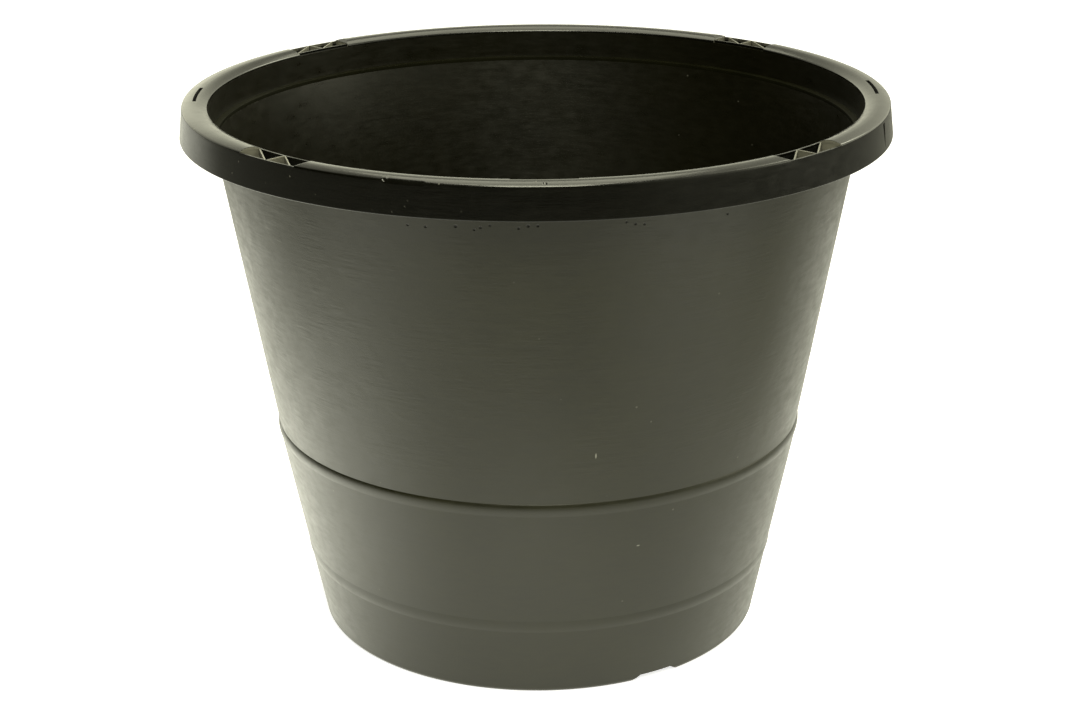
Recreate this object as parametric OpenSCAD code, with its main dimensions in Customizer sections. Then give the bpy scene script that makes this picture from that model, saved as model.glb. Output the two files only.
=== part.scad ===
// Tapered plastic bucket for cut flowers, standing on its foot with its front towards -Y.
// It is one moulding, divided here into its named regions, which meet face to face.
// Headings are angles round the bucket, from the front (-Y) towards the right (+X).

/* [Rim] */
// Outside diameter at the lower edge of the rim's skirt
rim_d = 300; // [290:1:310]
// Height from the ground to the crown of the rim
total_h = 233.7; // [225:0.1:245]
// Diameter of the mouth, inside the rim
mouth_d = 275.6; // [270:0.1:280]
// Radius at which the crown of the rim is highest
crown_r = 143.7; // [142.5:0.1:144.5]
// Radius of the curve across the crown
crown_curve = 10.7; // [9:0.1:14]
// Thickness of the rim's top
crown_t = 1.5; // [1.2:0.1:1.8]
// Thickness of the inner collar
collar_t = 1.5; // [1.2:0.1:1.8]
// How much narrower the collar is at its foot than at its top, on the radius
collar_draft = 0.3; // [0:0.1:0.5]
// Height of the skirt's lower edge below the crown
skirt_drop = 14.1; // [12:0.1:16]
// Outward lean of the skirt, in mm of radius for each mm of height
skirt_flare = 0.12; // [0.05:0.005:0.22]
// Thickness of the skirt
skirt_t = 0.9; // [0.8:0.1:1.2]
// Radius of the outer corner, between crown and skirt
outer_corner = 1; // [0.6:0.1:2.5]
// Radius of the inner corner, between crown and collar
inner_corner = 0.8; // [0.5:0.1:1.2]

/* [Wall] */
// Thickness of the bucket's wall
wall_t = 1.4; // [1.2:0.1:2]
// Outside diameter of the wall under the stacking ledge
under_rim_d = 271.8; // [268:0.1:273]
// Lean of the upper wall, in mm of radius for each mm of height
upper_slope = 0.1708; // [0.15:0.0002:0.19]
// Diameter that the lower wall would have at the ground
ground_d = 193.8; // [188:0.1:198]
// Lean of the lower wall, in mm of radius for each mm of height
lower_slope = 0.1979; // [0.18:0.0001:0.21]
// Height of the top edge of the upper ring
upper_ring_z = 93; // [85:0.5:100]
// Height of the top edge of the lower ring
lower_ring_z = 36.2; // [30:0.1:42]
// Height of each ring's band
ring_h = 5.4; // [4:0.1:7]
// How far the upper ring stands proud of the wall
upper_ring_bulge = 0.6; // [0.2:0.05:0.8]
// How far the lower ring stands proud of the wall
lower_ring_bulge = 0.3; // [0.1:0.05:0.5]

/* [Stacking ledge] */
// Depth of the ledge's tread below the crown
ledge_drop = 13.9; // [12:0.1:15]
// Thickness of the ledge
ledge_t = 1.5; // [1.2:0.1:2]
// Radius of the ledge's inner edge
ledge_round = 0.3; // [0.2:0.1:1.4]

/* [Foot and floor] */
// Height of the floor's upper face above the ground
floor_top = 4.6; // [4:0.1:6]
// Thickness of the floor
floor_t = 1.6; // [1.2:0.1:2]
// Width of the foot's standing ring
foot_t = 2.3; // [1.8:0.1:3]
// Radius of the heel, where the wall turns under
heel_round = 2.6; // [1.5:0.1:3.5]
// Number of air notches in the foot
notch_count = 3; // [2:1:6]
// Heading of the first air notch
notch_heading = 29; // [0:1:59]
// Angle that a notch takes up at the ground
notch_angle = 14.4; // [10:0.1:20]
// Angle of the flat top of a notch
notch_top_angle = 8.8; // [6:0.1:12]
// Height of an air notch
notch_h = 2.9; // [1:0.1:2.9]
// Radius of the gate mark under the floor
gate_r = 3; // [2:0.1:5]
// How far the gate mark stands proud
gate_h = 0.7; // [0.3:0.1:1]

/* [Rim windows] */
// Angle from the front or back centre line to the near end of a window
window_near = 38.6; // [36:0.1:40]
// Angle from the front or back centre line to the far end of a window
window_far = 50.8; // [48:0.1:54]
// Depth of the ribs' tops below the crown
rib_drop = 1.35; // [1:0.05:2]
// Thickness of a rib
rib_t = 0.6; // [0.6:0.1:1.2]
// Thickness of the lip that carries the collar past a window
lip_t = 0.6; // [0.6:0.1:1.2]
// Height of the ribs' feet above the skirt's lower edge
rib_foot = 1.2; // [0:0.1:3]
// Angle between the ends of neighbouring ribs
rib_set = 0.5; // [0.3:0.1:1]
// Angle that a window's end wall takes up, under the rim's top
end_wall_angle = 0.35; // [0.3:0.05:0.6]
// Length of the slope at each end of the front and back rim's top
end_run = 2.8; // [1:0.1:4]
// Height of the lower end of that slope above the ribs
end_step = 0.3; // [0.2:0.1:0.8]

/* [Rim details] */
// Angle that a side slot takes up
slot_angle = 10.2; // [6:0.1:14]
// Width of a side slot
slot_w = 1.5; // [1:0.1:2]
// Radius at the middle of a side slot
slot_r = 143.2; // [142:0.1:144.5]
// Angle that the shallow front panel takes up
panel_angle = 10; // [6:0.5:16]
// Depth of the shallow front panel
panel_depth = 0.35; // [0.2:0.05:0.5]
// Outer radius of the shallow front panel
panel_r = 143; // [141:0.1:144]
// Radius of the injection pit in the front rim
pit_r = 0.9; // [0.5:0.1:1.2]
// Heading of the worn flat on the front rim's outer corner
nick_heading = -20.2; // [-30:0.1:-12]
// Angle that the worn flat takes up
nick_angle = 6; // [2:0.5:10]
// Heading of the flow groove down the skirt's right side
groove_heading = 68.5; // [60:0.5:85]
// Width of the flow groove at its top
groove_w = 3; // [1:0.1:4]
// Depth of the flow groove
groove_depth = 0.5; // [0.2:0.05:0.7]

/* [Hidden] */
$fn = 160;

PLASTIC = [0.13, 0.13, 0.11];
ARC_STEPS = 10;
RING_STEPS = 14;
// How abruptly a ring's band starts at its top edge: 1 is even, and less is sharper
UPPER_RING_EDGE = 0.85;
LOWER_RING_EDGE = 1;
FRONT = 0;
RIGHT = 90;
BACK = 180;
LEFT = 270;

rim_r = rim_d / 2;
mouth_r = mouth_d / 2;
skirt_z = total_h - skirt_drop;
ledge_z = total_h - ledge_drop;
rib_top_z = total_h - rib_drop;
// The rim's top meets the collar, the skirt and the window lips on this level
split_z = total_h - 2.5;
crown_centre = [crown_r, total_h - crown_curve];
collar_out_r = mouth_r + collar_t;
collar_foot_r = mouth_r - collar_draft;
wall_top_z = ledge_z - ledge_t;
foot_in_r = lower_r(0) - heel_round - foot_t + 1;
pit_place = [crown_r + 3.4, total_h - 0.35];

// Outside radius of the upper and the lower wall at height z
function upper_r(z) = under_rim_d / 2 - upper_slope * (wall_top_z - z);
function lower_r(z) = ground_d / 2 + lower_slope * z;

// Outside radius of the collar at height z
function collar_r(z) = collar_out_r - collar_draft * (split_z - z) / (split_z - wall_top_z);

// Outside and inside radius of the skirt at height z
function skirt_out_r(z) = rim_r - skirt_flare * (z - skirt_z);
function skirt_in_r(z) = skirt_out_r(z) - skirt_t;

// Height, at radius r, of an arc about the crown's centre
function crown_z(r, curve) = crown_centre.y + sqrt(curve * curve - pow(r - crown_centre.x, 2));

// Points along an arc
function arc(centre, r, from, to, steps = ARC_STEPS) =
    [for (i = [0 : steps]) centre + r * [cos(from + (to - from) * i / steps), sin(from + (to - from) * i / steps)]];

// Centre of a fillet inside the crown's curve that also touches a line through p along u, with normal n
function fillet_centre(p, u, n, small) =
    let (q = p + small * n - crown_centre, b = u * q, k = q * q - pow(crown_curve - small, 2))
    p + small * n + (sqrt(b * b - k) - b) * u;

// Direction of a point from the crown's centre, in degrees
function crown_heading(p) = atan2(p.y - crown_centre.y, p.x - crown_centre.x);

flare_angle = atan(skirt_flare);
inner_centre = fillet_centre([mouth_r, split_z - inner_corner], [0, 1], [1, 0], inner_corner);
outer_centre = fillet_centre(
    [rim_r, skirt_z], [-sin(flare_angle), cos(flare_angle)], [-cos(flare_angle), -sin(flare_angle)], outer_corner
);

// Outer surface of the rim's top, from the mouth to the skirt
crown_line = concat(
    [[mouth_r, split_z]],
    arc(inner_centre, inner_corner, 180, crown_heading(inner_centre), 6),
    arc(crown_centre, crown_curve, crown_heading(inner_centre), crown_heading(outer_centre)),
    arc(outer_centre, outer_corner, crown_heading(outer_centre), flare_angle, 8),
    [[skirt_out_r(split_z), split_z]]
);

// Underside of the rim's top, from the skirt back to the collar
crown_under = [
    for (i = [0 : ARC_STEPS])
        let (r = skirt_in_r(split_z) + (collar_out_r - skirt_in_r(split_z)) * i / ARC_STEPS)
        [r, max(split_z, crown_z(r, crown_curve - crown_t))]
];

// Outer surface of a ring's band, from its bottom up to its sharp top edge
function ring_band(top_z, top_r, bottom_r, bulge, edge) = [
    for (i = [RING_STEPS : -1 : 1])
        let (t = i / RING_STEPS)
        [top_r + (bottom_r - top_r) * t + bulge * sin(180 * pow(t, edge)), top_z - ring_h * t]
];

// Turns a section, drawn as radius and height, from one heading to another
module turned(from, to) {
    rotate([0, 0, from - 90])
        rotate_extrude(angle = to - from)
            children();
}

// A vertical plate across the rim's channel, between two headings, that runs a little past both walls
module plate(skirt_heading, collar_heading) {
    a = skirt_in_r(split_z) * [sin(skirt_heading), -cos(skirt_heading)];
    b = collar_out_r * [sin(collar_heading), -cos(collar_heading)];
    along = (a - b) / norm(a - b);
    side = rib_t / 2 * [-along.y, along.x];
    reach = 2 * skirt_t * along;
    translate([0, 0, skirt_z])
        linear_extrude(height = skirt_drop)
            polygon([a + reach + side, b - reach + side, b - reach - side, a + reach - side]);
}

module base_floor() {
    color(PLASTIC) {
        translate([0, 0, floor_top - floor_t])
            cylinder(r = foot_in_r, h = floor_t);
        translate([0, 0, floor_top - floor_t - gate_h])
            cylinder(r = gate_r, h = gate_h + floor_t / 2);
    }
}

// Space of one air notch: a trapezium that passes through the foot along its heading
module air_notch(heading) {
    reach = lower_r(0);
    half = reach * sin(notch_angle / 2);
    half_top = reach * sin(notch_top_angle / 2);
    rotate([0, 0, heading - 90])
        translate([foot_in_r - heel_round * 2, 0, 0])
            rotate([90, 0, 90])
                linear_extrude(height = foot_t + heel_round * 4)
                    polygon([[-half, -1], [half, -1], [half_top, notch_h], [-half_top, notch_h]]);
}

module foot_ring() {
    heel_centre = [lower_r(heel_round) - heel_round, heel_round];
    color(PLASTIC)
        difference() {
            rotate_extrude()
                polygon(concat(
                    [[foot_in_r, 0]],
                    arc(heel_centre, heel_round, -90, 0, 8),
                    [[lower_r(floor_top), floor_top], [foot_in_r, floor_top]]
                ));
            for (i = [0 : notch_count - 1])
                air_notch(notch_heading + i * 360 / notch_count);
        }
}

module lower_wall() {
    band_z = lower_ring_z - ring_h;
    color(PLASTIC)
        rotate_extrude()
            polygon(concat(
                [[lower_r(floor_top) - wall_t, floor_top], [lower_r(floor_top), floor_top]],
                ring_band(lower_ring_z, lower_r(lower_ring_z), lower_r(band_z), lower_ring_bulge, LOWER_RING_EDGE),
                [[lower_r(lower_ring_z), lower_ring_z], [lower_r(lower_ring_z) - wall_t, lower_ring_z]]
            ));
}

module middle_wall() {
    band_z = upper_ring_z - ring_h;
    color(PLASTIC)
        rotate_extrude()
            polygon(concat(
                [[lower_r(lower_ring_z) - wall_t, lower_ring_z], [lower_r(lower_ring_z), lower_ring_z]],
                ring_band(upper_ring_z, upper_r(upper_ring_z), lower_r(band_z), upper_ring_bulge, UPPER_RING_EDGE),
                [[upper_r(upper_ring_z), upper_ring_z], [upper_r(upper_ring_z) - wall_t, upper_ring_z]]
            ));
}

module upper_wall() {
    color(PLASTIC)
        rotate_extrude()
            polygon([
                [upper_r(upper_ring_z) - wall_t, upper_ring_z],
                [upper_r(upper_ring_z), upper_ring_z],
                [upper_r(wall_top_z), wall_top_z],
                [upper_r(wall_top_z) - wall_t, wall_top_z]
            ]);
}

module stacking_ledge() {
    inner_r = upper_r(wall_top_z) - wall_t;
    color(PLASTIC)
        rotate_extrude()
            polygon(concat(
                [[inner_r, wall_top_z], [collar_foot_r, wall_top_z], [collar_foot_r, ledge_z]],
                arc([inner_r + ledge_round, ledge_z - ledge_round], ledge_round, 90, 180, 6)
            ));
}

module rim_collar() {
    color(PLASTIC)
        rotate_extrude()
            polygon([
                [collar_foot_r, wall_top_z],
                [collar_foot_r, ledge_z],
                [mouth_r, split_z],
                [collar_out_r, split_z],
                [collar_r(wall_top_z), wall_top_z]
            ]);
}

// One arc of the rim's crowned top
module rim_top(from, to) {
    turned(from, to)
        polygon(concat(crown_line, crown_under));
}

// Space of a side slot, which goes right through the rim's top
module side_slot(heading) {
    turned(heading - slot_angle / 2, heading + slot_angle / 2)
        translate([slot_r - slot_w / 2, split_z - 1])
            square([slot_w, 5]);
}

// Space above the shallow panel in the front rim
module front_panel() {
    turned(FRONT - panel_angle / 2, FRONT + panel_angle / 2)
        polygon(concat(
            [[mouth_r - 1, split_z + 3], [mouth_r - 1, crown_z(mouth_r + 0.3, crown_curve - panel_depth)]],
            [for (r = [mouth_r + 0.3 : 0.5 : panel_r]) [r, crown_z(r, crown_curve - panel_depth)]],
            [[panel_r, crown_z(panel_r, crown_curve - panel_depth)], [panel_r, split_z + 3]]
        ));
}

// Space of the worn flat on the rim's outer corner
module corner_nick() {
    turned(nick_heading - nick_angle / 2, nick_heading + nick_angle / 2)
        polygon([
            [outer_centre.x - 0.1, total_h],
            [outer_centre.x + 0.45, outer_centre.y + outer_corner - 0.4],
            [skirt_out_r(split_z) - 0.35, split_z + 0.5],
            [rim_r, split_z + 0.5],
            [rim_r, total_h]
        ]);
}

// Space over the slope at an end of the front or back rim's top. side is 1 where the window lies at a larger heading
module end_slope(heading, side) {
    rise = total_h - rib_top_z - end_step;
    rotate([0, 0, heading - 90])
        translate([mouth_r - 2, 0, rib_top_z + end_step])
            rotate([90, 0, 90])
                linear_extrude(height = 16)
                    polygon([[side, 0], [0, 0], [-side * end_run, rise], [-side * end_run, 3], [side, 3]]);
}

module front_rim_top() {
    color(PLASTIC)
        difference() {
            rim_top(FRONT - window_near, FRONT + window_near);
            end_slope(FRONT - window_near, -1);
            end_slope(FRONT + window_near, 1);
            front_panel();
            corner_nick();
            translate([0, -pit_place.x, pit_place.y + pit_r / 2])
                sphere(r = pit_r);
        }
}

module back_rim_top() {
    color(PLASTIC)
        difference() {
            rim_top(BACK - window_near, BACK + window_near);
            end_slope(BACK - window_near, -1);
            end_slope(BACK + window_near, 1);
        }
}

module right_rim_top() {
    color(PLASTIC)
        difference() {
            rim_top(window_far, BACK - window_far);
            side_slot(RIGHT);
        }
}

module left_rim_top() {
    color(PLASTIC)
        difference() {
            rim_top(BACK + window_far, 360 - window_far);
            side_slot(LEFT);
        }
}

// Space of the flow groove: widest and deepest at the skirt's top, it fades out on the way down
module flow_groove() {
    rotate([0, 0, groove_heading - 90])
        translate([rim_r - groove_depth, 0, skirt_z])
            rotate([0, -flare_angle, 0])
                rotate([90, 0, 90])
                    linear_extrude(height = 3)
                        polygon([[0, 0], [groove_w / 2, skirt_drop + 1], [-groove_w / 2, skirt_drop + 1]]);
}

module rim_skirt() {
    color(PLASTIC)
        difference() {
            rotate_extrude()
                polygon([
                    [skirt_in_r(skirt_z), skirt_z],
                    [skirt_out_r(skirt_z), skirt_z],
                    [skirt_out_r(split_z), split_z],
                    [skirt_in_r(split_z), split_z]
                ]);
            flow_groove();
        }
}

// Section of the rim's channel between the collar and the skirt, from the ribs' feet up
module channel_section() {
    foot_z = skirt_z + rib_foot;
    polygon(concat(
        [[collar_r(foot_z), foot_z], [skirt_in_r(foot_z), foot_z]],
        crown_under
    ));
}

// Truss ribs, end walls and both rims of the opening of the window to the right of the front centre line
module window_ribs() {
    foot_z = skirt_z + rib_foot;
    lip_h = rib_top_z - split_z;
    middle = (window_near + window_far) / 2;
    turned(window_near, window_far) {
        translate([collar_out_r - lip_t, split_z])
            square([lip_t, lip_h]);
        polygon([
            [skirt_in_r(split_z), split_z],
            [skirt_out_r(split_z), split_z],
            [skirt_out_r(rib_top_z), rib_top_z],
            [skirt_in_r(split_z), rib_top_z]
        ]);
    }
    turned(window_near - end_wall_angle, window_near)
        channel_section();
    turned(window_far, window_far + end_wall_angle)
        channel_section();
    intersection() {
        turned(window_near, window_far)
            polygon([
                [collar_r(foot_z), foot_z],
                [skirt_in_r(foot_z), foot_z],
                [skirt_in_r(split_z), split_z],
                [skirt_in_r(split_z), rib_top_z],
                [collar_out_r, rib_top_z],
                [collar_out_r, split_z]
            ]);
        union() {
            plate(window_near + 2 * rib_set, middle - rib_set);
            plate(middle - rib_set / 2, middle - rib_set / 2);
            plate(middle + rib_set / 2, window_far);
        }
    }
}

module front_right_ribs() {
    color(PLASTIC) window_ribs();
}

module front_left_ribs() {
    color(PLASTIC) mirror([1, 0, 0]) window_ribs();
}

module back_right_ribs() {
    color(PLASTIC) mirror([0, 1, 0]) window_ribs();
}

module back_left_ribs() {
    color(PLASTIC) rotate([0, 0, 180]) window_ribs();
}

base_floor();
foot_ring();
lower_wall();
middle_wall();
upper_wall();
stacking_ledge();
rim_collar();
front_rim_top();
back_rim_top();
left_rim_top();
right_rim_top();
rim_skirt();
front_left_ribs();
front_right_ribs();
back_left_ribs();
back_right_ribs();
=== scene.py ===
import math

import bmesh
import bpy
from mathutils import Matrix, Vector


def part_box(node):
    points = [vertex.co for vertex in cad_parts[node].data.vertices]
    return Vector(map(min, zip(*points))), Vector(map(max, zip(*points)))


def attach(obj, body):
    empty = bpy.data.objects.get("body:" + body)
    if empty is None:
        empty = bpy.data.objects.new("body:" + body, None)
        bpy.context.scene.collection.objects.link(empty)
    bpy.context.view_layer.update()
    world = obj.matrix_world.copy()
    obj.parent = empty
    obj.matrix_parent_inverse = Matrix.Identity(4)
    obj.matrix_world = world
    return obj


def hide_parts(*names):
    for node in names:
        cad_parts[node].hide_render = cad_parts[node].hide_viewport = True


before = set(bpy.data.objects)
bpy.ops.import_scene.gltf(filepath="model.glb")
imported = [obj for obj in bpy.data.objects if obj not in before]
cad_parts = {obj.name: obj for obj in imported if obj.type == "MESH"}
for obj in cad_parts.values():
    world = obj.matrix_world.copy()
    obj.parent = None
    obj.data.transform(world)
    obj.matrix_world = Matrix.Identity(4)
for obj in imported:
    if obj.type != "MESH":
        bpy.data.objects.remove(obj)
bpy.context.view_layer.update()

# Black plastic flower bucket. Every region of the moulding but the window ribs is rebuilt here as a finely
# divided turned mesh in the space of its CAD node. The ribs are the CAD shape with softened edges. Sections
# are (radius, height) points in millimetres, and headings are degrees round the bucket from the front (-Y)
# towards the right (+X).

MM = 0.001


def cos_d(a):
    return math.cos(math.radians(a))


def sin_d(a):
    return math.sin(math.radians(a))


def node_mm(name):
    """Lowest height, highest height and largest radius of a CAD node, in millimetres."""
    lo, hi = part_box(name)
    return lo.z / MM, hi.z / MM, max(hi.x, -lo.x, hi.y, -lo.y) / MM


# ---------------------------------------------------------------- sizes
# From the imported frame
FLOOR_Z = node_mm("base_floor")[1]
LOWER_RING_Z = node_mm("lower_wall")[1]
UPPER_RING_Z = node_mm("middle_wall")[1]
WALL_TOP_Z, WALL_TOP_R = node_mm("upper_wall")[1:]
LEDGE_Z, COLLAR_FOOT_R = node_mm("stacking_ledge")[1:]
COLLAR_OUT_R = node_mm("rim_collar")[2]
SKIRT_Z, SPLIT_Z, RIM_R = node_mm("rim_skirt")
TOTAL_H = node_mm("front_rim_top")[1]
RIB_TOP_Z = node_mm("front_right_ribs")[1]

# Walls, rings and ledge: slopes are millimetres outwards for each millimetre up
WALL_T = 1.4
FLOOR_T = 1.6
UPPER_SLOPE = 0.1708
LOWER_SLOPE = 0.1979
GROUND_R = 96.9
RING_H = 5.4
UPPER_BULGE, UPPER_EDGE = 0.6, 0.85
LOWER_BULGE, LOWER_EDGE = 0.3, 1.0
LEDGE_ROUND = 0.08

# Foot, its air notches and the gate mark
FOOT_T = 2.3
HEEL = 2.6
FOOT_IN_R = GROUND_R - HEEL - FOOT_T + 1
NOTCHES = (29, 149, 269)
NOTCH_HALF, NOTCH_TOP_HALF, NOTCH_H = 7.2, 4.4, 2.9
GATE_R, GATE_H = 3.0, 0.7

# Rim
COLLAR_T = 1.5
MOUTH_R = COLLAR_OUT_R - COLLAR_T
SKIRT_FLARE, SKIRT_T = 0.12, 0.9
CROWN_R, CROWN_CURVE, CROWN_T = 143.7, 10.7, 1.5
CROWN_Z = TOTAL_H - CROWN_CURVE
INNER_CORNER, OUTER_CORNER = 0.8, 1.0
WINDOW_NEAR, WINDOW_FAR = 38.6, 50.8
END_RUN, END_STEP, END_ROUND = 2.8, 0.3, 0.15
SLOT_HALF, SLOT_IN_R, SLOT_OUT_R = 5.1, 142.45, 143.95
RIB_EDGE = 0.1

# Marks on the rim: the shallow front panel, the pit, the worn flat with its burr, and the flow groove
PANEL_HALF, PANEL_DEPTH, PANEL_R = 5.0, 0.35, 143.0
PANEL_STEP, PANEL_EDGE = 0.16, 0.12
PIT_R, PIT_OUT, PIT_DEPTH = 0.9, 147.1, 0.45
NICK_FROM, NICK_TO, NICK_EDGE = -23.2, -17.2, 0.5
BURR_AT, BURR_W, BURR_H = NICK_FROM + 0.1, 0.35, 0.28
GROOVE_AT, GROOVE_W, GROOVE_DEPTH, GROOVE_R = 68.5, 3.0, 0.6, 148


def upper_r(z):
    return WALL_TOP_R - UPPER_SLOPE * (WALL_TOP_Z - z)


def lower_r(z):
    return GROUND_R + LOWER_SLOPE * z


def skirt_r(z):
    return RIM_R - SKIRT_FLARE * (z - SKIRT_Z)


def crown_z(r, curve=CROWN_CURVE):
    return CROWN_Z + math.sqrt(curve * curve - (r - CROWN_R) ** 2)


def smooth(t):
    t = min(1.0, max(0.0, t))
    return t * t * (3 - 2 * t)


def turn_between(a, b):
    """Angle between two headings, from 0 to 180 degrees."""
    return abs((a - b + 180) % 360 - 180)


def along(degrees, r):
    """Length of an arc of the given angle at radius r."""
    return degrees * math.radians(1) * r


# ---------------------------------------------------------------- lines
def arc(centre, r, start, end, steps):
    return [
        (centre[0] + r * cos_d(start + (end - start) * i / steps),
         centre[1] + r * sin_d(start + (end - start) * i / steps))
        for i in range(steps + 1)
    ]


def span(a, b, steps):
    """Points from a towards b, leaving out b."""
    return [tuple(p + (q - p) * i / steps for p, q in zip(a, b)) for i in range(steps)]


def wall_line(radius, low, high, steps):
    """Points from one height to another on the wall whose radius is radius(z)."""
    heights = [low + (high - low) * i / steps for i in range(steps + 1)]
    return [(radius(z), z) for z in heights]


def inside_line(radius, high, low, steps):
    return [(r - WALL_T, z) for r, z in wall_line(radius, high, low, steps)]


def rounded(outline, radii, steps):
    """The outline with each corner that has a radius turned into a small arc."""
    out = []
    for i, (corner, r) in enumerate(zip(outline, radii)):
        if not r:
            out.append(tuple(corner))
            continue
        a, p, b = Vector(outline[i - 1]), Vector(corner), Vector(outline[(i + 1) % len(outline)])
        u, v = (a - p).normalized(), (b - p).normalized()
        half = u.angle(v) / 2
        centre = p + (u + v).normalized() * (r / math.sin(half))
        s, e = p + u * (r / math.tan(half)) - centre, p + v * (r / math.tan(half)) - centre
        turn = s.angle(e)
        for k in range(steps + 1):
            f = k / steps
            swung = s * math.sin((1 - f) * turn) + e * math.sin(f * turn)
            out.append(tuple(centre + swung / math.sin(turn)))
    return out


def headings(start, end, step, fine=()):
    """Headings from start to end, with extra ones in each fine range (from, to, step)."""
    found = {round(start, 4), round(end, 4)}
    n = max(1, round((end - start) / step))
    found |= {round(start + (end - start) * i / n, 4) for i in range(n + 1)}
    for a, b, s in fine:
        m = max(1, round((b - a) / s))
        found = {h for h in found if not a < h < b} | {round(a + (b - a) * i / m, 4) for i in range(m + 1)}
    return sorted(h for h in found if start - 1e-6 <= h <= end + 1e-6)


# ---------------------------------------------------------------- meshes
def to_mesh(bm, name, sharp=38):
    bmesh.ops.remove_doubles(bm, verts=bm.verts, dist=1e-7)
    bmesh.ops.recalc_face_normals(bm, faces=bm.faces)
    mesh = bpy.data.meshes.new(name)
    bm.to_mesh(mesh)
    bm.free()
    mesh.shade_smooth()
    mesh.set_sharp_from_angle(angle=math.radians(sharp))
    obj = bpy.data.objects.new(name, mesh)
    bpy.context.scene.collection.objects.link(obj)
    return obj


def turned(at, section, hole=None, second=None):
    """A bmesh of a closed section turned through the headings, where section(heading) gives its points.

    Faces that start at the section's points second = (first, last) have the piece's second material.
    hole = (first heading, last heading, top, under) leaves out the faces of a slot and closes its four sides
    in the second material. top and under are each the first of the two neighbouring points, in the section's
    own order, between which the slot passes through. The caps of an open turn have the third material."""
    full = at[-1] - at[0] > 359.99
    columns = at[:-1] if full else at
    slot_start, slot_end, top, under = hole or (0, 0, 0, 0)
    bm = bmesh.new()
    rings = [
        [bm.verts.new((r * sin_d(h) * MM, -r * cos_d(h) * MM, z * MM)) for r, z in section(h)]
        for h in columns
    ]
    count = len(rings[0])
    under_next = (under + 1) % count
    for i in range(len(columns) if full else len(columns) - 1):
        a, b = rings[i], rings[(i + 1) % len(rings)]
        in_slot = hole and slot_start - 1e-6 <= at[i] and at[i + 1] <= slot_end + 1e-6
        for k in range(count):
            if in_slot and k in (top, under):
                continue
            m = (k + 1) % count
            face = bm.faces.new((a[k], b[k], b[m], a[m]))
            if second and second[0] <= k < second[1]:
                face.material_index = 1
        if in_slot:
            near_side = (a[top], a[under_next], b[under_next], b[top])
            far_side = (a[top + 1], b[top + 1], b[under], a[under])
            bm.faces.new(near_side).material_index = 1
            bm.faces.new(far_side).material_index = 1
    if hole:
        for end in (slot_start, slot_end):
            a = rings[min(range(len(columns)), key=lambda i: abs(columns[i] - end))]
            bm.faces.new((a[top], a[top + 1], a[under], a[under_next])).material_index = 1
    if not full:
        caps = [bm.faces.new(rings[0]), bm.faces.new(rings[-1])]
        for cap in caps:
            cap.material_index = 2
        bm.normal_update()
        bmesh.ops.triangulate(bm, faces=caps, ngon_method="EAR_CLIP")
    return bm


def finish_piece(obj, nodes, slot, *materials):
    for material in materials:
        obj.data.materials.append(material)
    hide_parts(*nodes)
    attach(obj, "root")
    return obj


# ---------------------------------------------------------------- material nodes
def new_material(name):
    m = bpy.data.materials.new(name)
    m.use_nodes = True
    tree = m.node_tree
    tree.nodes.clear()
    out = tree.nodes.new("ShaderNodeOutputMaterial")
    shader = tree.nodes.new("ShaderNodeBsdfPrincipled")
    tree.links.new(shader.outputs["BSDF"], out.inputs["Surface"])
    return m, tree, shader


class Maker:
    """Short calls that add nodes to one node tree."""

    def __init__(self, tree):
        self.tree = tree

    def put(self, socket, value):
        if hasattr(value, "is_output"):
            self.tree.links.new(value, socket)
        else:
            socket.default_value = value

    def node(self, kind, **settings):
        n = self.tree.nodes.new(kind)
        for key, value in settings.items():
            setattr(n, key, value)
        return n

    def math(self, operation, a, b, clamp=False):
        n = self.node("ShaderNodeMath", operation=operation, use_clamp=clamp)
        self.put(n.inputs[0], a)
        self.put(n.inputs[1], b)
        return n.outputs[0]

    def span(self, value, low, high, to_low=0.0, to_high=1.0):
        """The value eased from to_low at low to to_high at high."""
        n = self.node("ShaderNodeMapRange", interpolation_type="SMOOTHSTEP")
        for socket, v in zip(n.inputs, (value, low, high, to_low, to_high)):
            self.put(socket, v)
        return n.outputs[0]

    def combine(self, x, y, z):
        n = self.node("ShaderNodeCombineXYZ")
        for socket, v in zip(n.inputs, (x, y, z)):
            self.put(socket, v)
        return n.outputs[0]

    def noise(self, vector, scale, detail, rough=0.55):
        n = self.node("ShaderNodeTexNoise", noise_dimensions="3D")
        self.put(n.inputs["Vector"], vector)
        self.put(n.inputs["Scale"], scale)
        self.put(n.inputs["Detail"], detail)
        self.put(n.inputs["Roughness"], rough)
        return n.outputs["Fac"]

    def cells(self, vector, scale):
        n = self.node("ShaderNodeTexVoronoi", voronoi_dimensions="3D", feature="F1")
        self.put(n.inputs["Vector"], vector)
        self.put(n.inputs["Scale"], scale)
        return n.outputs["Distance"]

    def distance(self, a, b):
        n = self.node("ShaderNodeVectorMath", operation="DISTANCE")
        self.put(n.inputs[0], a)
        self.put(n.inputs[1], b)
        return n.outputs["Value"]

    def mix(self, factor, a, b):
        n = self.node("ShaderNodeMix", data_type="RGBA")
        self.put(n.inputs[0], factor)
        self.put(n.inputs[6], a)
        self.put(n.inputs[7], b)
        return n.outputs[2]

    def bump(self, height, distance, strength, normal=None):
        n = self.node("ShaderNodeBump")
        self.put(n.inputs["Height"], height)
        self.put(n.inputs["Distance"], distance)
        self.put(n.inputs["Strength"], strength)
        if normal is not None:
            self.put(n.inputs["Normal"], normal)
        return n.outputs["Normal"]


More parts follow.
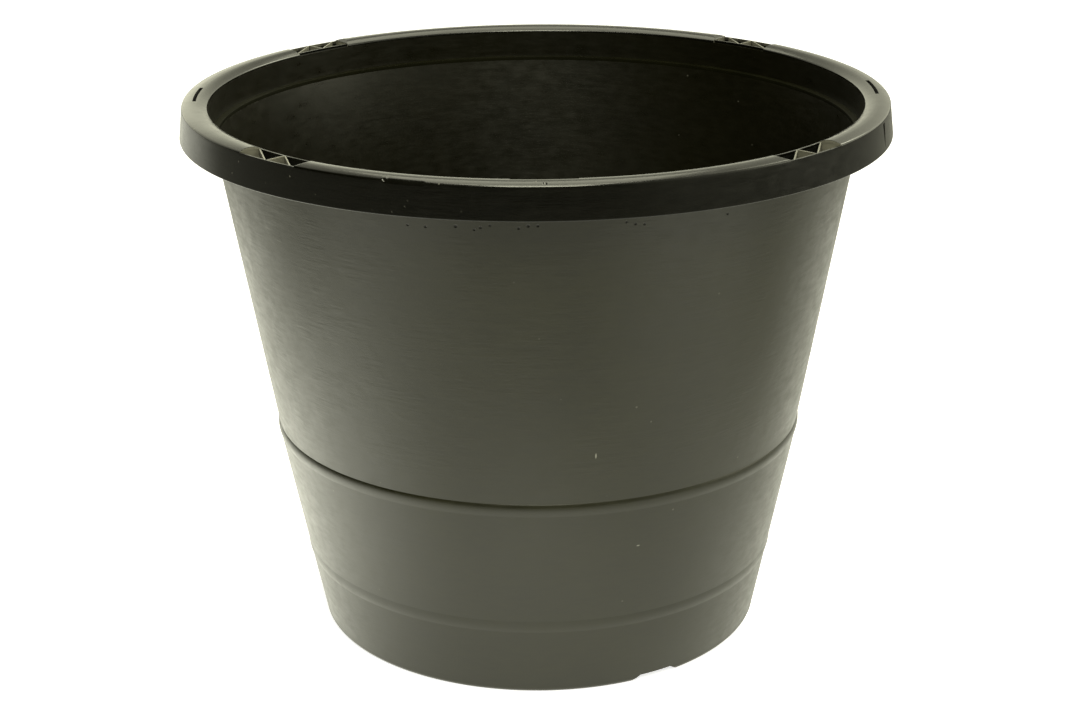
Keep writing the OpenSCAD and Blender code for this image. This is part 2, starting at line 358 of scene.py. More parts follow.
# ---------------------------------------------------------------- the plastic
# Dark and pale tone of each part of the plastic. The wall's and the base's are the plastic's own; the
# inside's, the ledge's and the rim's are darker with painted shade, and the ribs' are far paler with painted
# light
WALL_TONES = (0.0070, 0.0070, 0.0018), (0.0110, 0.0108, 0.0030)
BASE_TONES = (0.0070, 0.0070, 0.0018), (0.0115, 0.0112, 0.0032)
# painted shade: the inside of the bucket is darker than the wall's own tone, to stand for the shade inside it
INSIDE_SHADED_TONES = (0.0026, 0.0024, 0.0005), (0.0040, 0.0036, 0.0008)
# painted shade: the ledge inside the mouth is darker than the wall's own tone, to stand for its shade
LEDGE_SHADED_TONES = (0.0030, 0.0030, 0.0008), (0.0048, 0.0047, 0.0013)
# painted shade: the rim's tone, also on the skirt, the channel under the rim and the ribs' lips, is far
# darker than the wall's own, to darken faces that catch no light
RIM_SHADED_TONES = (0.0012, 0.0012, 0.0005), (0.0022, 0.0021, 0.0009)
# painted light: the ribs' faces and the cut ends at the windows are painted far paler than the plastic, to
# stand for the light they catch
RIB_LIT_TONES = (0.095, 0.092, 0.074), (0.14, 0.135, 0.11)
# painted shade: near-black for the shade inside the wall's small pits
PIT_SHADE_COLOUR = (0.001, 0.001, 0.001, 1)
SCRATCH_COLOUR = (0.4, 0.4, 0.36, 1)
DUST_COLOUR = (0.30, 0.29, 0.25, 1)
RIM_ROUGH = 0.18
# Past these radii the window ribs' node looks like the rim: the ribs' painted light gives way to the rim's
# tone with painted shade. The change takes LIP_BLEND to either side
LIP_IN_R, LIP_OUT_R, LIP_BLEND = 139.4, 147.69, 0.05
# Small pits just under the skirt, painted near-black as the shade inside them: heading, height, radius
WALL_PITS = (
    (-22, 212, 0.6), (-19, 212, 0.7), (-14, 213, 0.8), (-11, 212, 0.6), (-10, 213, 0.7), (-8.5, 214, 0.6),
    (-4, 213, 0.7), (-2.5, 214, 0.8), (-1, 214, 0.7), (13, 214, 0.6), (14.5, 213, 0.7), (16, 212.5, 0.6),
    (31, 212, 0.7),
)
# Scratches on the wall: line of the wall, heading, height, half width, and stretch along x, y and z
WALL_SCRATCHES = (
    (upper_r, 9.8, 114.5, 0.42, (1, 1, 0.2)),
    (lower_r, 20, 70, 0.4, (0.25, 1, 1)),
)


def place_on_wall(radius, heading, z):
    """The point on the wall radius(z) at a heading and a height in millimetres, itself in metres."""
    r = radius(z)
    return (r * sin_d(heading) * MM, -r * cos_d(heading) * MM, z * MM)


def marks(k, where, spots, stretch=(1, 1, 1)):
    """How much of a small mark is at a point.

    Each spot is (place, radius), and a stretch under 1 lengthens it in that direction."""
    scaled = k.node("ShaderNodeVectorMath", operation="MULTIPLY")
    k.put(scaled.inputs[0], where)
    k.put(scaled.inputs[1], stretch)
    found = None
    for place, size in spots:
        middle = tuple(p * q for p, q in zip(place, stretch))
        spot = k.span(k.distance(scaled.outputs[0], middle), size * MM, 0.35 * size * MM)
        found = spot if found is None else k.math("MAXIMUM", found, spot)
    return found


def wall_marks(k, where):
    """The wall's pits and its scratches, as two masks."""
    pits = marks(k, where, [(place_on_wall(upper_r, heading, z), size) for heading, z, size in WALL_PITS])
    scratches = [
        marks(k, where, [(place_on_wall(radius, heading, z), size)], stretch)
        for radius, heading, z, size, stretch in WALL_SCRATCHES
    ]
    return pits, k.math("MAXIMUM", *scratches)


def plastic(name, tones, rough, streaks, grain, specks, kind="", shine=0.5):
    """Black moulded polypropylene: fine turning lines round the body, a faint mottle, grain and settled dust.

    streaks is how far the roughness varies, grain the strength of the fine bumps and specks that of the dust.
    kind adds the marks of the "wall", the "rim" or the "ribs", and shine is the specular level."""
    m, tree, shader = new_material(name)
    k = Maker(tree)
    dark, pale = tones
    where = k.node("ShaderNodeTexCoord").outputs["Object"]
    split = k.node("ShaderNodeSeparateXYZ")
    k.put(split.inputs[0], where)
    x, y, z = split.outputs
    r = k.math("SQRT", k.math("ADD", k.math("MULTIPLY", x, x), k.math("MULTIPLY", y, y)), 0)
    r = k.math("MAXIMUM", r, 0.001)

    # coordinates drawn in towards the axis, so that a pattern in them runs level: the closer, the longer
    round_x, round_y = k.math("DIVIDE", x, r), k.math("DIVIDE", y, r)
    level = k.combine(k.math("MULTIPLY", round_x, 0.12), k.math("MULTIPLY", round_y, 0.12), z)
    lines = k.combine(k.math("MULTIPLY", round_x, 0.012), k.math("MULTIPLY", round_y, 0.012), z)
    short = k.combine(k.math("MULTIPLY", round_x, 0.03), k.math("MULTIPLY", round_y, 0.03), z)
    broad = k.noise(level, 26, 2)
    fine_lines = k.noise(lines, 700, 3, 0.65)
    short_lines = k.noise(short, 520, 3, 0.6)
    mottle = k.noise(where, 160, 4, 0.6)
    fine_grain = k.noise(where, 2600, 2, 0.5)

    dusty_places = k.span(k.noise(where, 42, 2), 0.56, 0.68)
    dust = k.math("MULTIPLY", k.span(k.cells(where, 130), 0.075, 0.03), dusty_places, clamp=True)
    dust = k.math("MULTIPLY", dust, specks)
    if kind == "rim":
        # more and finer white specks on the front left of the skirt
        near = k.math("MULTIPLY", k.span(x, 0.03, -0.03), k.span(y, 0.0, -0.06))
        fine_specks = k.math("MULTIPLY", k.span(k.cells(where, 210), 0.11, 0.05), k.span(mottle, 0.5, 0.6))
        dust = k.math("MAXIMUM", dust, k.math("MULTIPLY", fine_specks, near))

    tone = k.math(
        "ADD",
        k.math("MULTIPLY", k.span(short_lines, 0.3, 0.7), 0.55),
        k.math("MULTIPLY", k.span(broad, 0.3, 0.7), 0.45),
    )
    # the dark and pale tones are the plastic's own on the wall and base; on the inside, ledge and rim they
    # carry painted shade, on the ribs and cut ends painted light
    colour = k.mix(tone, (*dark, 1), (*pale, 1))
    roughness = k.math(
        "ADD",
        k.span(short_lines, 0.25, 0.75, rough - 0.5 * streaks, rough + 0.5 * streaks),
        k.span(mottle, 0.3, 0.7, -0.025, 0.025),
    )
    if kind == "ribs":
        past_out = k.span(r, (LIP_OUT_R - LIP_BLEND) * MM, (LIP_OUT_R + LIP_BLEND) * MM)
        past_in = k.span(r, (LIP_IN_R + LIP_BLEND) * MM, (LIP_IN_R - LIP_BLEND) * MM)
        lip = k.math("MAXIMUM", past_out, past_in)
        # painted light gives way to painted shade: the lips take the rim's darkened tone in place of the
        # ribs' pale one
        colour = k.mix(lip, colour, (*RIM_SHADED_TONES[0], 1))
        roughness = k.math("ADD", roughness, k.math("MULTIPLY", lip, RIM_ROUGH - rough))
    if kind == "wall":
        pits, scratch = wall_marks(k, where)
        # painted shade: the pits are painted near-black for the shade inside them
        colour = k.mix(pits, colour, PIT_SHADE_COLOUR)
        colour = k.mix(k.math("MULTIPLY", scratch, 0.5), colour, SCRATCH_COLOUR)
        roughness = k.math("ADD", roughness, k.math("MULTIPLY", k.math("MAXIMUM", pits, scratch), 0.4))
    colour = k.mix(k.math("MULTIPLY", dust, 0.55), colour, DUST_COLOUR)
    roughness = k.math("ADD", roughness, k.math("MULTIPLY", dust, 0.3), clamp=True)

    line_height = 0.2
    if kind == "wall":
        # the turning lines are clear on the upper wall, in patches, and faint under the upper ring
        patches = k.span(k.noise(level, 60, 2), 0.42, 0.6, 0.25, 1)
        line_height = k.math("MULTIPLY", patches, k.span(z, 0.09, 0.115, 0.1, 1))
    texture = k.math("ADD", short_lines, k.math("MULTIPLY", fine_grain, 0.35))
    normal = k.bump(k.math("MULTIPLY", fine_lines, line_height), grain * MM * 0.16, 0.6)
    normal = k.bump(texture, grain * MM * 0.06, 0.45, normal)
    if kind == "wall":
        normal = k.bump(k.math("SUBTRACT", 1, pits), 0.25 * MM, 1, normal)

    k.put(shader.inputs["Base Color"], colour)
    k.put(shader.inputs["Roughness"], roughness)
    k.put(shader.inputs["Normal"], normal)
    shader.inputs["IOR"].default_value = 1.49
    shader.inputs["Specular IOR Level"].default_value = shine
    return m


WALL_MATERIAL = plastic("black_pp_wall", WALL_TONES, 0.34, 0.07, 1, 0.35, "wall")
# painted shade in the rim's darker tone
RIM_SHADED_MATERIAL = plastic("black_pp_rim_painted_shade", RIM_SHADED_TONES, RIM_ROUGH, 0.05, 0.6, 0.8, "rim")
# painted light in the ribs' pale tone, with the rim's painted shade on the lips
RIB_LIT_MATERIAL = plastic("black_pp_ribs_painted_light_and_shade", RIB_LIT_TONES, 0.36, 0.08, 0.5, 0.5, "ribs")
# painted light in the cut ends' pale tone
END_LIT_MATERIAL = plastic("black_pp_cut_ends_painted_light", RIB_LIT_TONES, 0.36, 0.08, 0.5, 0)
# painted shade in the under-rim's darker tone, taken from the rim
CHANNEL_SHADED_MATERIAL = plastic("black_pp_under_rim_painted_shade", RIM_SHADED_TONES, 0.75, 0.05, 1, 0, shine=0.15)
# painted shade in the ledge's darker tone
LEDGE_SHADED_MATERIAL = plastic("black_pp_ledge_painted_shade", LEDGE_SHADED_TONES, 0.6, 0.07, 1, 0.2, shine=0.05)
# painted shade in the inside's darker tone
INSIDE_SHADED_MATERIAL = plastic("black_pp_inside_painted_shade", INSIDE_SHADED_TONES, 0.32, 0.07, 1, 0.35)
BASE_MATERIAL = plastic("black_pp_base", BASE_TONES, 0.36, 0.07, 1, 0.5)


# ---------------------------------------------------------------- floor panel
def floor_section(heading):
    under = FLOOR_Z - FLOOR_T
    gate = under - GATE_H
    return (
        [(0, FLOOR_Z)]
        + span((6, FLOOR_Z), (FOOT_IN_R, FLOOR_Z), 24)
        + [(FOOT_IN_R, FLOOR_Z), (FOOT_IN_R, under)]
        + span((FOOT_IN_R - 4, under), (GATE_R + 0.5, under), 12)
        + [(GATE_R + 0.5, under), (GATE_R + 0.05, under - 0.15), (GATE_R, gate + 0.15)]
        + [(GATE_R - 0.15, gate), (1.1, gate), (0.8, gate + 0.25)]
        + [(0, gate + 0.3)]
    )


finish_piece(
    to_mesh(turned(headings(0, 360, 2.5), floor_section), "floor_panel"),
    ["base_floor"], "base", BASE_MATERIAL,
)


# ---------------------------------------------------------------- foot ring with its three air notches
def notch_height(heading):
    """Height of the foot's underside at a heading: over 0 only within an air notch."""
    off = min(turn_between(heading, n) for n in NOTCHES)
    return NOTCH_H * min(1.0, max(0.0, (NOTCH_HALF - off) / (NOTCH_HALF - NOTCH_TOP_HALF)))


def foot_section(heading):
    h = notch_height(heading)
    if h < HEEL - 0.01:
        start = math.degrees(math.asin((h - HEEL) / HEEL))
        heel = arc((lower_r(HEEL) - HEEL, HEEL), HEEL, start, 0, 10)
    else:
        heel = wall_line(lower_r, h, HEEL + 0.36, 10)
    return (
        [(FOOT_IN_R, h + 0.25), (FOOT_IN_R + 0.25, h)]
        + span((FOOT_IN_R + 0.4, h), heel[0], 3)
        + heel
        + span((lower_r(HEEL + 0.4), HEEL + 0.4), (lower_r(FLOOR_Z), FLOOR_Z), 3)
        + [(lower_r(FLOOR_Z), FLOOR_Z), (FOOT_IN_R, FLOOR_Z)]
    )


notch_columns = [(n - NOTCH_HALF - 1.2, n + NOTCH_HALF + 1.2, 0.2) for n in NOTCHES]
finish_piece(
    to_mesh(turned(headings(0, 360, 1.25, notch_columns), foot_section), "foot_ring_moulding", 34),
    ["foot_ring"], "base", BASE_MATERIAL,
)


# ---------------------------------------------------------------- walls
RING_STEPS = 22
# How many faces the inside of each wall has from top to bottom
LOWER_INSIDE, MIDDLE_INSIDE, UPPER_INSIDE = 12, 20, 36


def ring_band(top_z, top_r, bottom_r, bulge, edge):
    """Outer line of a ring's band from its bottom up to its sharp top edge, leaving out the edge itself."""
    points = []
    for i in range(RING_STEPS, 0, -1):
        t = (i / RING_STEPS) ** 1.4
        points.append((top_r + (bottom_r - top_r) * t + bulge * sin_d(180 * t ** edge), top_z - RING_H * t))
    return points


def lower_wall_section(heading):
    band_z = LOWER_RING_Z - RING_H
    return (
        wall_line(lower_r, FLOOR_Z, band_z - 0.3, 14)
        + ring_band(LOWER_RING_Z, lower_r(LOWER_RING_Z), lower_r(band_z), LOWER_BULGE, LOWER_EDGE)
        + [(lower_r(LOWER_RING_Z), LOWER_RING_Z)]
        + inside_line(lower_r, LOWER_RING_Z, FLOOR_Z, LOWER_INSIDE)
    )


def middle_wall_section(heading):
    band_z = UPPER_RING_Z - RING_H
    return (
        wall_line(lower_r, LOWER_RING_Z, band_z - 0.3, 24)
        + ring_band(UPPER_RING_Z, upper_r(UPPER_RING_Z), lower_r(band_z), UPPER_BULGE, UPPER_EDGE)
        + [(upper_r(UPPER_RING_Z), UPPER_RING_Z), (upper_r(UPPER_RING_Z) - WALL_T, UPPER_RING_Z)]
        + inside_line(lower_r, band_z, LOWER_RING_Z, MIDDLE_INSIDE)
    )


def upper_wall_section(heading):
    outside = wall_line(upper_r, UPPER_RING_Z, WALL_TOP_Z, 48)
    return outside + inside_line(upper_r, WALL_TOP_Z, UPPER_RING_Z, UPPER_INSIDE)


for piece, node, section, inside in (
    ("lower_wall_moulding", "lower_wall", lower_wall_section, LOWER_INSIDE),
    ("middle_wall_moulding", "middle_wall", middle_wall_section, MIDDLE_INSIDE),
    ("upper_wall_moulding", "upper_wall", upper_wall_section, UPPER_INSIDE),
):
    last = len(section(0)) - 1
    wall = turned(headings(0, 360, 1.25), section, second=(last - inside, last))
    finish_piece(to_mesh(wall, piece), [node], "wall", WALL_MATERIAL, INSIDE_SHADED_MATERIAL)


# ---------------------------------------------------------------- stacking ledge and collar
COLLAR_STEPS = 8
# The collar's outside comes after the two points of its foot, its inside and its inner top corner
COLLAR_OUTSIDE = (3 + COLLAR_STEPS, 3 + 2 * COLLAR_STEPS)


def ledge_section(heading):
    inner = upper_r(WALL_TOP_Z) - WALL_T
    return rounded(
        [(inner, WALL_TOP_Z), (COLLAR_FOOT_R, WALL_TOP_Z), (COLLAR_FOOT_R, LEDGE_Z), (inner, LEDGE_Z)],
        [0, 0, 0, LEDGE_ROUND], 3,
    )


def collar_section(heading):
    outer_foot = COLLAR_FOOT_R + COLLAR_T
    return (
        [(COLLAR_FOOT_R, WALL_TOP_Z), (COLLAR_FOOT_R, LEDGE_Z)]
        + span((COLLAR_FOOT_R + 0.02, LEDGE_Z + 0.2), (MOUTH_R, SPLIT_Z), COLLAR_STEPS)
        + [(MOUTH_R, SPLIT_Z)]
        + span((COLLAR_OUT_R, SPLIT_Z), (outer_foot, WALL_TOP_Z), COLLAR_STEPS)
        + [(outer_foot, WALL_TOP_Z)]
    )


finish_piece(
    to_mesh(turned(headings(0, 360, 1.25), ledge_section), "stacking_ledge_moulding"),
    ["stacking_ledge"], "rim", LEDGE_SHADED_MATERIAL,
)
collar = turned(headings(0, 360, 1.25), collar_section, second=COLLAR_OUTSIDE)
finish_piece(
    to_mesh(collar, "rim_collar_moulding"), ["rim_collar"], "rim", INSIDE_SHADED_MATERIAL, CHANNEL_SHADED_MATERIAL
)


# ---------------------------------------------------------------- skirt with its flow groove
SKIRT_FOOT_POINTS, SKIRT_OUT_STEPS, SKIRT_IN_STEPS = 5, 14, 8
SKIRT_IN_START = SKIRT_FOOT_POINTS + SKIRT_OUT_STEPS + 1
SKIRT_INSIDE = (SKIRT_IN_START, SKIRT_IN_START + SKIRT_IN_STEPS + 1)
# A face is the groove's when it lies between these depths behind the skirt's outside
GROOVE_SHALLOWEST, GROOVE_DEEPEST = 0.03, 0.7


def groove_profile(across, up):
    """How deep the flow groove is, from 0 to 1: widest and deepest at the skirt's top."""
    half = max(0.05, GROOVE_W / 2 * min(1.0, up * 1.25))
    return smooth((half - across) / (0.4 * half)) * smooth((up - 0.1) / 0.45)


def skirt_section(heading):
    top_r = skirt_r(SPLIT_Z)
    foot = rounded(
        [(RIM_R, SKIRT_Z), (top_r, SPLIT_Z), (top_r - SKIRT_T, SPLIT_Z), (RIM_R - SKIRT_T, SKIRT_Z)],
        [0.32, 0, 0, 0.3], SKIRT_FOOT_POINTS - 1,
    )
    outer = span((skirt_r(SKIRT_Z + 0.6), SKIRT_Z + 0.6), (top_r, SPLIT_Z), SKIRT_OUT_STEPS)
    outer.append((top_r, SPLIT_Z))
    across = along(turn_between(heading, GROOVE_AT), GROOVE_R)
    if across < GROOVE_W:
        outer = [
            (r - GROOVE_DEPTH * groove_profile(across, (z - SKIRT_Z) / (TOTAL_H - SKIRT_Z)), z)
            for r, z in outer
        ]
    inner = span((top_r - SKIRT_T, SPLIT_Z), (RIM_R - SKIRT_T - 0.1, SKIRT_Z + 0.6), SKIRT_IN_STEPS)
    return foot[:SKIRT_FOOT_POINTS] + outer + inner + foot[-SKIRT_FOOT_POINTS:]


groove_columns = [(GROOVE_AT - 0.8, GROOVE_AT + 0.8, 0.05)]
skirt_turn = turned(headings(0, 360, 1.25, groove_columns), skirt_section, second=SKIRT_INSIDE)
skirt = finish_piece(
    to_mesh(skirt_turn, "rim_skirt_moulding", 50), ["rim_skirt"], "rim", RIM_SHADED_MATERIAL, CHANNEL_SHADED_MATERIAL
)
for face in skirt.data.polygons:
    depth = skirt_r(face.center.z / MM) - math.hypot(face.center.x, face.center.y) / MM
    if GROOVE_SHALLOWEST < depth < GROOVE_DEEPEST and face.center.z > (SKIRT_Z + 1) * MM:
        face.material_index = 1


# ---------------------------------------------------------------- section of the rim's top
def fillet_centre(p, u, n, small):
    """Centre of a fillet that touches the crown's curve from inside, and the line through p along u.

    n is the line's normal and small is the fillet's radius."""
    q = (p[0] + small * n[0] - CROWN_R, p[1] + small * n[1] - CROWN_Z)
    b = u[0] * q[0] + u[1] * q[1]
    k = q[0] ** 2 + q[1] ** 2 - (CROWN_CURVE - small) ** 2
    t = math.sqrt(b * b - k) - b
    return (p[0] + small * n[0] + t * u[0], p[1] + small * n[1] + t * u[1])


def crown_heading(p):
    """Angle at which a point is seen from the centre of the crown's curve."""
    return math.degrees(math.atan2(p[1] - CROWN_Z, p[0] - CROWN_R))


FLARE = math.degrees(math.atan(SKIRT_FLARE))
INNER_CENTRE = fillet_centre((MOUTH_R, SPLIT_Z - INNER_CORNER), (0, 1), (1, 0), INNER_CORNER)
OUTER_CENTRE = fillet_centre(
    (RIM_R, SKIRT_Z), (-sin_d(FLARE), cos_d(FLARE)), (-cos_d(FLARE), -sin_d(FLARE)), OUTER_CORNER
)


def with_cuts(radii, cuts, clear):
    """The radii with the cuts added and those close to a cut left out.

    When clear is set, those between the first and the last cut are left out too."""
    kept = {r for r in radii if all(abs(r - c) > 0.12 for c in cuts)}
    if clear:
        kept = {r for r in kept if not cuts[0] < r < cuts[-1]}
    return sorted(kept | set(cuts))


def crown_outer(cuts=(), clear=False):
    """Outer line of the rim's top from the mouth to the skirt, with points at each of the given radii."""
    a0, a1 = crown_heading(INNER_CENTRE), crown_heading(OUTER_CENTRE)
    across = arc((CROWN_R, CROWN_Z), CROWN_CURVE, a0, a1, 30)
    across = [(r, crown_z(r)) for r in with_cuts([p[0] for p in across], cuts, clear)]
    return (
        span((MOUTH_R, SPLIT_Z), (MOUTH_R, INNER_CENTRE[1]), 3)
        + arc(INNER_CENTRE, INNER_CORNER, 180, a0, 8)[:-1]
        + across
        + arc(OUTER_CENTRE, OUTER_CORNER, a1, FLARE, 12)[1:]
        + [(skirt_r(SPLIT_Z), SPLIT_Z)]
    )


def crown_under(cuts=(), clear=False):
    """Underside of the rim's top from the skirt back to the collar."""
    start, end = skirt_r(SPLIT_Z) - SKIRT_T, COLLAR_OUT_R
    radii = with_cuts([start + (end - start) * i / 14 for i in range(15)], cuts, clear)
    return [(r, max(SPLIT_Z, crown_z(r, CROWN_CURVE - CROWN_T))) for r in reversed(radii)]


# ---------------------------------------------------------------- front of the rim, with its marks
FRONT_OUTER, FRONT_UNDER = crown_outer((PANEL_R - PANEL_STEP, PANEL_R)), crown_under()
BURR_IN_R, BURR_LOW_Z, BURR_RISE = OUTER_CENTRE[0] - 0.6, SPLIT_Z + 0.8, 0.8


def flat_limit(r):
    """Height of the worn flat on the front rim's outer corner, at radius r, or none inside it."""
    a = (OUTER_CENTRE[0] - 0.1, TOTAL_H)
    b = (OUTER_CENTRE[0] + 0.45, OUTER_CENTRE[1] + OUTER_CORNER - 0.4)
    c = (skirt_r(SPLIT_Z) - 0.35, SPLIT_Z + 0.5)
    for p, q in ((a, b), (b, c)):
        if p[0] <= r <= q[0]:
            return p[1] + (q[1] - p[1]) * (r - p[0]) / (q[0] - p[0])
    return None if r < a[0] else SPLIT_Z + 0.5


def panel_drop(heading, r, z):
    """How far the shallow panel lowers a point of the front rim."""
    panel = smooth((PANEL_HALF + PANEL_EDGE / 2 - abs(heading)) / PANEL_EDGE)
    if not panel or r >= PANEL_R - 0.01:
        return 0.0
    return panel * max(0.0, z - crown_z(max(r, MOUTH_R + 0.3), CROWN_CURVE - PANEL_DEPTH))


def worn_drop(heading, r, z):
    """How far the worn flat lowers a point of the front rim."""
    limit = flat_limit(r)
    if limit is None or z <= limit:
        return 0.0
    begin = smooth((heading - NICK_FROM + NICK_EDGE / 2) / NICK_EDGE)
    end = smooth((NICK_TO + NICK_EDGE / 2 - heading) / NICK_EDGE)
    return begin * end * (z - limit)


def burr_lift(heading, r, z):
    """How far the burr at the start of the worn flat lifts a point of the rim's outer corner."""
    burr = math.exp(-(((heading - BURR_AT) / BURR_W) ** 2))
    if burr < 0.01 or z < BURR_LOW_Z or not BURR_IN_R < r < skirt_r(SPLIT_Z) - 0.1:
        return 0.0
    return BURR_H * burr * smooth((z - BURR_LOW_Z) / BURR_RISE) * smooth((r - BURR_IN_R) / BURR_RISE)


def pit_drop(heading, r):
    """How far the injection pit lowers a point of the front rim."""
    apart = math.hypot(r - PIT_OUT, along(heading, PIT_OUT))
    return PIT_DEPTH * math.sqrt(1 - (apart / PIT_R) ** 2) if apart < PIT_R else 0.0


def front_section(heading):
    line = []
    for r, z in FRONT_OUTER:
        z -= panel_drop(heading, r, z)
        z -= worn_drop(heading, r, z)
        lift = burr_lift(heading, r, z)
        if lift:
            r, z = r + 0.15 * lift, min(TOTAL_H, z + lift)
        line.append((r, z - pit_drop(heading, r)))
    return line + FRONT_UNDER


front_columns = [
    (NICK_FROM - 1, NICK_TO + 0.6, 0.1),
    (-PANEL_HALF - PANEL_EDGE, -PANEL_HALF + PANEL_EDGE, 0.04),
    (-0.48, 0.48, 0.04),
    (PANEL_HALF - PANEL_EDGE, PANEL_HALF + PANEL_EDGE, 0.04),
]


# ---------------------------------------------------------------- the four pieces of the rim's top
def near_end(heading, ends):
    """How far a heading is from the nearest end of the rim's top, in millimetres."""
    return along(min(abs(heading - e) for e in ends), CROWN_R)


def eased(section, outer_count, ends):
    """The section with a small round edge where the rim's top ends at a window."""
    def line(heading):
        points = list(section(heading))
        apart = END_ROUND - near_end(heading, ends)
        if apart <= 0:
            return points
        inset = END_ROUND - math.sqrt(END_ROUND ** 2 - apart ** 2)
        moved = list(points)
        for i in range(1, outer_count - 1):
            dr, dz = points[i + 1][0] - points[i - 1][0], points[i + 1][1] - points[i - 1][1]
            length = math.hypot(dr, dz)
            if length > 1e-9:
                moved[i] = (points[i][0] + inset * dz / length, points[i][1] - inset * dr / length)
        return moved
    return line


def sloped(section, outer_count, ends):
    """The section with its crown cut down towards both ends."""
    low = RIB_TOP_Z + END_STEP

    def line(heading):
        limit = low + (TOTAL_H - low) * near_end(heading, ends) / END_RUN
        points = section(heading)
        return [(r, min(z, limit)) for r, z in points[:outer_count]] + points[outer_count:]
    return line


def end_columns(ends):
    """Fine headings next to both ends: first the round edge, then the slope."""
    low, high = ends
    edge, slope = 0.064, 1.3
    return [
        (low, low + edge, 0.016), (low + edge, low + slope, 0.1),
        (high - slope, high - edge, 0.1), (high - edge, high, 0.016),
    ]


def rim_piece(name, node, ends, columns, section, outer_count, hole=None):
    """One piece of the rim's top. The section's first outer_count points are its outer line."""
    at = headings(ends[0], ends[1], 0.8, columns + end_columns(ends))
    last = len(section(ends[0])) - 1
    bm = turned(at, eased(section, outer_count, ends), hole, second=(outer_count, last))
    finish_piece(to_mesh(bm, name, 40), [node], "rim", RIM_SHADED_MATERIAL, CHANNEL_SHADED_MATERIAL, END_LIT_MATERIAL)


SLOT_CUTS = (SLOT_IN_R, SLOT_OUT_R)
SIDE_OUTER, SIDE_UNDER = crown_outer(SLOT_CUTS, True), crown_under(SLOT_CUTS, True)
SIDE_LINE = SIDE_OUTER + SIDE_UNDER
BACK_OUTER = crown_outer()
BACK_LINE = BACK_OUTER + crown_under()
FRONT_ENDS, BACK_ENDS = (-WINDOW_NEAR, WINDOW_NEAR), (180 - WINDOW_NEAR, 180 + WINDOW_NEAR)


def nearest(points, r):
    """Which of the points has its radius nearest to r."""
    return min(range(len(points)), key=lambda i: abs(points[i][0] - r))


def slot_hole(centre):
    top = nearest(SIDE_OUTER, SLOT_IN_R)
    under = len(SIDE_OUTER) + nearest(SIDE_UNDER, SLOT_OUT_R)
    return (centre - SLOT_HALF, centre + SLOT_HALF, top, under)


rim_piece(
    "front_rim_moulding", "front_rim_top", FRONT_ENDS, front_columns,
    sloped(front_section, len(FRONT_OUTER), FRONT_ENDS), len(FRONT_OUTER),
)
rim_piece(
    "back_rim_moulding", "back_rim_top", BACK_ENDS, [],
    sloped(lambda heading: BACK_LINE, len(BACK_OUTER), BACK_ENDS), len(BACK_OUTER),
)
for side, middle in (("right", 90), ("left", 270)):
    rim_piece(
        f"{side}_rim_moulding", f"{side}_rim_top", (middle - 90 + WINDOW_FAR, middle + 90 - WINDOW_FAR),
        [(middle - SLOT_HALF, middle + SLOT_HALF, 0.6)], lambda heading: SIDE_LINE, len(SIDE_OUTER),
        slot_hole(middle),
    )


# ---------------------------------------------------------------- window ribs
def rib_piece(node):
    """The CAD ribs of one window with their upper edges softened."""
    bm = bmesh.new()
    bm.from_mesh(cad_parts[node].data)
    bmesh.ops.remove_doubles(bm, verts=bm.verts, dist=0.004 * MM)
    bmesh.ops.dissolve_limit(bm, angle_limit=math.radians(1.5), verts=bm.verts, edges=bm.edges)
    edges = [
        e for e in bm.edges
        if len(e.link_faces) == 2 and e.calc_face_angle(0) > math.radians(40)
        and min(v.co.z for v in e.verts) > (SPLIT_Z + 0.5) * MM
    ]
    bmesh.ops.bevel(
        bm, geom=edges, offset=RIB_EDGE * MM, segments=2, profile=0.5, affect="EDGES", clamp_overlap=True
    )
    finish_piece(to_mesh(bm, node.replace("_ribs", "_window_ribs"), 30), [node], "rim_ribs", RIB_LIT_MATERIAL)


for node in ("front_left_ribs", "front_right_ribs", "back_left_ribs", "back_right_ribs"):
    rib_piece(node)


# ---------------------------------------------------------------- stage: floor, lights, world, camera
WHITE = (1, 1, 1, 1)
FLOOR_WARM, LAMP_WARM = (1.0, 1.0, 0.85, 1), (1.0, 0.99, 0.76, 1)
# Light that the floor gives off towards the camera, which makes its white even
FLOOR_SEEN = 0.8
# Pools of light on the floor: middle x and y, radius where it starts to fade, radius where it ends, radiance
POOLS = (
    (0.0, 0.0, 0.13, 0.36, 0.95),
    (-0.24, -0.03, 0.03, 0.22, 1.65),
    (-0.32, 0.26, 0.10, 0.32, 1.15),
    (-0.36, -0.30, 0.08, 0.30, 0.8),
    (0.36, -0.30, 0.08, 0.30, 0.8),
    (0.32, 0.26, 0.10, 0.32, 0.6),
    (-0.8, 1.1, 0.3, 0.9, 0.7),
    (0.0, 0.60, 0.20, 0.60, 0.5),
    (-0.45, 0.0, 0.10, 0.40, 0.3),
    (-0.07, -0.20, 0.03, 0.20, 0.45),
    (0.05, -0.36, 0.06, 0.28, 0.25),
)
# Softboxes: name, place, aim, size, watts, spread in degrees
LIGHTS = (
    ("overhead_softbox", (0, -0.05, 1.3), (0, -0.1, 0.2), (0.55, 0.5), 8, 180),
    ("front_softbox", (0, -0.95, 1.2), (0, -0.15, 0.2), (0.6, 0.65), 20, 180),
    ("back_softbox", (0, 0.75, 1.25), (0, 0, 0.2), (0.6, 0.7), 3, 180),
    ("right_softbox", (1.2, 0, 0.6), (0, 0, 0.1), (0.7, 0.9), 2.4, 180),
    ("mouth_softbox", (0.28, 0.28, 0.55), (-0.13, -0.02, 0.16), (0.4, 0.4), 0.25, 40),
)
